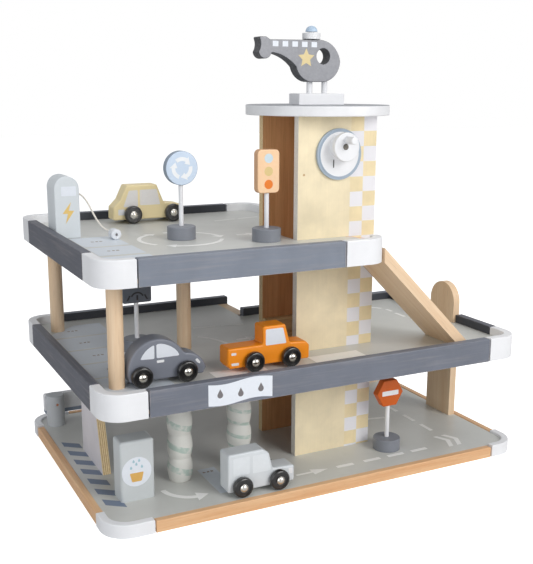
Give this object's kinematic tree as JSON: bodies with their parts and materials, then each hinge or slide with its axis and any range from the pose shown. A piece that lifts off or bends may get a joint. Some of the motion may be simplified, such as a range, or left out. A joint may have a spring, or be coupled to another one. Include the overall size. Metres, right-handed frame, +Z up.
{
  "type": "toy parking garage with lift",
  "caption": "Wooden toy parking garage with railed decks, a lift tower worked by a crank, ramps, a car wash, signs, a charging column, toy cars and a helicopter.",
  "frame": {"origin": "middle of the base's underside, on the surface that the garage stands on", "axes": "+X along the front to the right, +Y to the back, +Z up"},
  "size_m": [0.5, 0.336, 0.4862],
  "materials": {
    "beech": "clear-lacquered beech",
    "grey_board": "printed matt board",
    "white_wood": "satin white paint on wood",
    "slate_wood": "satin slate paint on wood",
    "cream_board": "satin cream paint on board",
    "birch_board": "clear-lacquered plywood",
    "pale_grey_wood": "satin pale grey paint on wood",
    "crank_paint": "satin white paint with a grey-blue rim",
    "grey_post": "satin grey paint on wood",
    "cord_white": "braided cotton cord",
    "nozzle_white": "satin white paint on a turned peg",
    "sign_foot": "satin grey foot with a white dowel",
    "sign_blue": "satin printed wood",
    "sign_slate": "satin printed wood",
    "sign_orange": "satin orange paint on wood",
    "sign_peach": "satin peach paint on wood",
    "yellow_paint": "satin yellow paint on wood",
    "grey_paint": "satin grey paint on wood",
    "orange_paint": "satin orange paint on wood",
    "black_wheel": "glossy black with a polished steel hub nail",
    "rotor_paint": "satin white paint with a pale blue cap"
  },
  "bodies": {
    "garage": {"arch_panel": "beech", "back_ramp": "beech", "barrier_post": "grey_post", "base_board": "grey_board", "base_corners": "white_wood", "base_strips": "beech", "charger": "pale_grey_wood", "charger_cord": "cord_white", "charger_nozzle": "nozzle_white", "deck_posts": "beech", "dowel_pins": "beech", "exit_ramp": "beech", "kiosk": "pale_grey_wood", "middle_corners": "white_wood", "middle_deck": "grey_board", "middle_rail_front": "slate_wood", "middle_rail_left": "slate_wood", "middle_rails_back": "slate_wood", "middle_rails_right": "slate_wood", "side_panel": "pale_grey_wood", "tower_back_panel": "birch_board", "tower_front_panel": "cream_board", "tower_roof": "white_wood", "tower_side_panel": "birch_board", "upper_corners": "white_wood", "upper_deck": "grey_board", "upper_rail_front": "slate_wood", "upper_rail_left": "slate_wood", "upper_rails_back": "slate_wood"},
    "lift": {"lift_platform": "birch_board", "lift_cord": "cord_white"},
    "crank": {"winding_axle": "beech", "crank_disc": "crank_paint", "crank_knob": "white_wood"},
    "left_roller": {"wash_roller_left": "white_wood"},
    "right_roller": {"wash_roller_right": "white_wood"},
    "barrier": {"barrier_arm": "pale_grey_wood"},
    "helicopter": {"heli_stand": "white_wood", "heli_body": "grey_paint"},
    "rotor": {"heli_rotor": "rotor_paint"},
    "round_sign": {"round_sign_stand": "sign_foot", "round_sign_head": "sign_blue"},
    "square_sign": {"square_sign_stand": "sign_foot", "square_sign_head": "sign_slate"},
    "stop_sign": {"stop_sign_stand": "sign_foot", "stop_sign_head": "sign_orange"},
    "traffic_light": {"traffic_light_stand": "sign_foot", "traffic_light_head": "sign_peach"},
    "hatchback": {"hatchback_body": "yellow_paint"},
    "hatchback_left_axle": {"hatchback_wheels_left": "black_wheel"},
    "hatchback_right_axle": {"hatchback_wheels_right": "black_wheel"},
    "coupe": {"coupe_body": "grey_paint"},
    "coupe_left_axle": {"coupe_wheels_left": "black_wheel"},
    "coupe_right_axle": {"coupe_wheels_right": "black_wheel"},
    "pickup": {"pickup_body": "orange_paint"},
    "pickup_left_axle": {"pickup_wheels_left": "black_wheel"},
    "pickup_right_axle": {"pickup_wheels_right": "black_wheel"},
    "wagon": {"wagon_body": "pale_grey_wood"},
    "wagon_left_axle": {"wagon_wheels_left": "black_wheel"},
    "wagon_right_axle": {"wagon_wheels_right": "black_wheel"}
  },
  "joints": [
    {"name": "lift_slide", "type": "slide", "parent": "garage", "child": "lift", "axis": [0, 0, 1], "range_m": [-0.1162, 0.126], "deforming": ["lift_cord"]},
    {"name": "crank_turn", "type": "hinge", "parent": "garage", "child": "crank", "pos_m": [0.0425, -0.04, 0.3504], "axis": [0, 1, 0], "range_deg": [-740, 803]},
    {"name": "left_roller_spin", "type": "hinge", "parent": "garage", "child": "left_roller", "pos_m": [-0.145, -0.0848, 0.06], "axis": [0, 0, 1], "continuous": true},
    {"name": "right_roller_spin", "type": "hinge", "parent": "garage", "child": "right_roller", "pos_m": [-0.0757, -0.0848, 0.06], "axis": [0, 0, 1], "continuous": true},
    {"name": "barrier_swing", "type": "hinge", "parent": "garage", "child": "barrier", "pos_m": [-0.2255, 0.1467, 0.0386], "axis": [0, -1, 0], "range_deg": [0, 85]},
    {"name": "helicopter_lift_off", "type": "slide", "parent": "garage", "child": "helicopter", "axis": [0, 0, 1], "range_m": [0, 0.06]},
    {"name": "rotor_spin", "type": "hinge", "parent": "helicopter", "child": "rotor", "pos_m": [0.0336, -0.04, 0.475], "axis": [0, 0, 1], "continuous": true},
    {"name": "round_sign_lift_off", "type": "slide", "parent": "garage", "child": "round_sign", "axis": [0, 0, 1], "range_m": [0, 0.05]},
    {"name": "square_sign_lift_off", "type": "slide", "parent": "garage", "child": "square_sign", "axis": [0, 0, 1], "range_m": [0, 0.025]},
    {"name": "stop_sign_lift_off", "type": "slide", "parent": "garage", "child": "stop_sign", "axis": [0, 0, 1], "range_m": [0, 0.02]},
    {"name": "traffic_light_lift_off", "type": "slide", "parent": "garage", "child": "traffic_light", "axis": [0, 0, 1], "range_m": [0, 0.03]},
    {"name": "hatchback_roll", "type": "slide", "parent": "garage", "child": "hatchback", "axis": [1, 0, 0], "range_m": [-0.08, 0.1]},
    {"name": "hatchback_left_wheels", "type": "hinge", "parent": "hatchback", "child": "hatchback_left_axle", "pos_m": [-0.1272, 0.1189, 0.2705], "axis": [0, 1, 0], "range_deg": [-425, 531]},
    {"name": "hatchback_right_wheels", "type": "hinge", "parent": "hatchback", "child": "hatchback_right_axle", "pos_m": [-0.076, 0.1189, 0.2705], "axis": [0, 1, 0], "range_deg": [-425, 531]},
    {"name": "coupe_roll", "type": "slide", "parent": "garage", "child": "coupe", "axis": [1, 0, 0], "range_m": [0, 0.015]},
    {"name": "coupe_left_wheels", "type": "hinge", "parent": "coupe", "child": "coupe_left_axle", "pos_m": [-0.1984, -0.1121, 0.1445], "axis": [0, 1, 0], "range_deg": [0, 80]},
    {"name": "coupe_right_wheels", "type": "hinge", "parent": "coupe", "child": "coupe_right_axle", "pos_m": [-0.1514, -0.1121, 0.1445], "axis": [0, 1, 0], "range_deg": [0, 80]},
    {"name": "pickup_roll", "type": "slide", "parent": "garage", "child": "pickup", "axis": [1, 0, 0], "range_m": [-0.005, 0.12]},
    {"name": "pickup_left_wheels", "type": "hinge", "parent": "pickup", "child": "pickup_left_axle", "pos_m": [-0.0779, -0.1141, 0.1445], "axis": [0, 1, 0], "range_deg": [-27, 637]},
    {"name": "pickup_right_wheels", "type": "hinge", "parent": "pickup", "child": "pickup_right_axle", "pos_m": [-0.0353, -0.1141, 0.1445], "axis": [0, 1, 0], "range_deg": [-27, 637]},
    {"name": "wagon_roll", "type": "slide", "parent": "garage", "child": "wagon", "axis": [1, 0, 0], "range_m": [-0.08, 0.12]},
    {"name": "wagon_left_wheels", "type": "hinge", "parent": "wagon", "child": "wagon_left_axle", "pos_m": [-0.1038, -0.1403, 0.022], "axis": [0, 1, 0], "range_deg": [-425, 637]},
    {"name": "wagon_right_wheels", "type": "hinge", "parent": "wagon", "child": "wagon_right_axle", "pos_m": [-0.0619, -0.1403, 0.022], "axis": [0, 1, 0], "range_deg": [-425, 637]}
  ],
  "couplings": [
    {"joint": "crank_turn", "follows": "lift_slide", "rad_per_m": 111.11},
    {"joint": "hatchback_left_wheels", "follows": "hatchback_roll", "rad_per_m": 92.593},
    {"joint": "hatchback_right_wheels", "follows": "hatchback_roll", "rad_per_m": 92.593},
    {"joint": "coupe_left_wheels", "follows": "coupe_roll", "rad_per_m": 92.593},
    {"joint": "coupe_right_wheels", "follows": "coupe_roll", "rad_per_m": 92.593},
    {"joint": "pickup_left_wheels", "follows": "pickup_roll", "rad_per_m": 92.593},
    {"joint": "pickup_right_wheels", "follows": "pickup_roll", "rad_per_m": 92.593},
    {"joint": "wagon_left_wheels", "follows": "wagon_roll", "rad_per_m": 92.593},
    {"joint": "wagon_right_wheels", "follows": "wagon_roll", "rad_per_m": 92.593}
  ]
}
